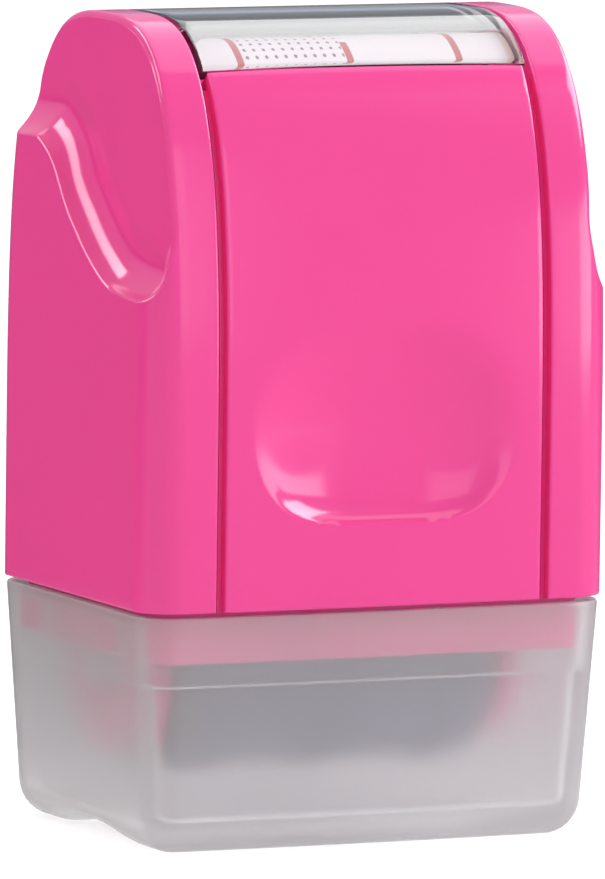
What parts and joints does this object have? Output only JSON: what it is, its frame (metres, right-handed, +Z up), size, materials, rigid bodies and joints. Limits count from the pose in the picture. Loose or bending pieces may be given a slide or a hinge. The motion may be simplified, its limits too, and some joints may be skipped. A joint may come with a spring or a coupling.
{
  "type": "handwriting line roller stamp",
  "caption": "Hand roller stamp that prints handwriting guide lines, with a two-cheek housing, a curved label window and a frosted pull-off cap.",
  "frame": {"origin": "on the ground under the middle of the capped stamp", "axes": "+X along the roller's axis, -Y is the front with the thumb dimple, +Z up"},
  "size_m": [0.0496, 0.0386, 0.08],
  "materials": {
    "housing_pink": "high gloss, hot pink",
    "clear_lens": "clear moulded plastic",
    "label_card": "white card with printed sample lines",
    "frame_pink": "satin pink",
    "fastener_steel": "zinc plated",
    "axle_steel": "ground",
    "clip_steel": "plain",
    "bush_nylon": "natural",
    "core_plastic": "natural",
    "inked_felt": "soaked with ink",
    "print_rubber": "porous printing rubber",
    "flange_plastic": "satin black",
    "frosted_cap": "frosted, see-through"
  },
  "bodies": {
    "housing": {"centre_shell": "housing_pink", "left_side_cover": "housing_pink", "right_side_cover": "housing_pink", "window_lens": "clear_lens", "label_card": "label_card", "roller_frame": "frame_pink", "left_front_screw": "fastener_steel", "left_rear_screw": "fastener_steel", "right_front_screw": "fastener_steel", "right_rear_screw": "fastener_steel", "axle": "axle_steel", "left_axle_clip": "clip_steel", "right_axle_clip": "clip_steel"},
    "roller": {"left_bush": "bush_nylon", "right_bush": "bush_nylon", "roller_core": "core_plastic", "ink_felt": "inked_felt", "stamp_sleeve": "print_rubber", "left_end_flange": "flange_plastic", "right_end_flange": "flange_plastic"},
    "cap": {"cap": "frosted_cap"}
  },
  "joints": [
    {"name": "roller_spin", "type": "hinge", "parent": "housing", "child": "roller", "pos_m": [0, 0, 0.017], "axis": [1, 0, 0], "continuous": true},
    {"name": "cap_slide", "type": "slide", "parent": "housing", "child": "cap", "axis": [0, 0, -1], "range_m": [0, 0.03]}
  ]
}
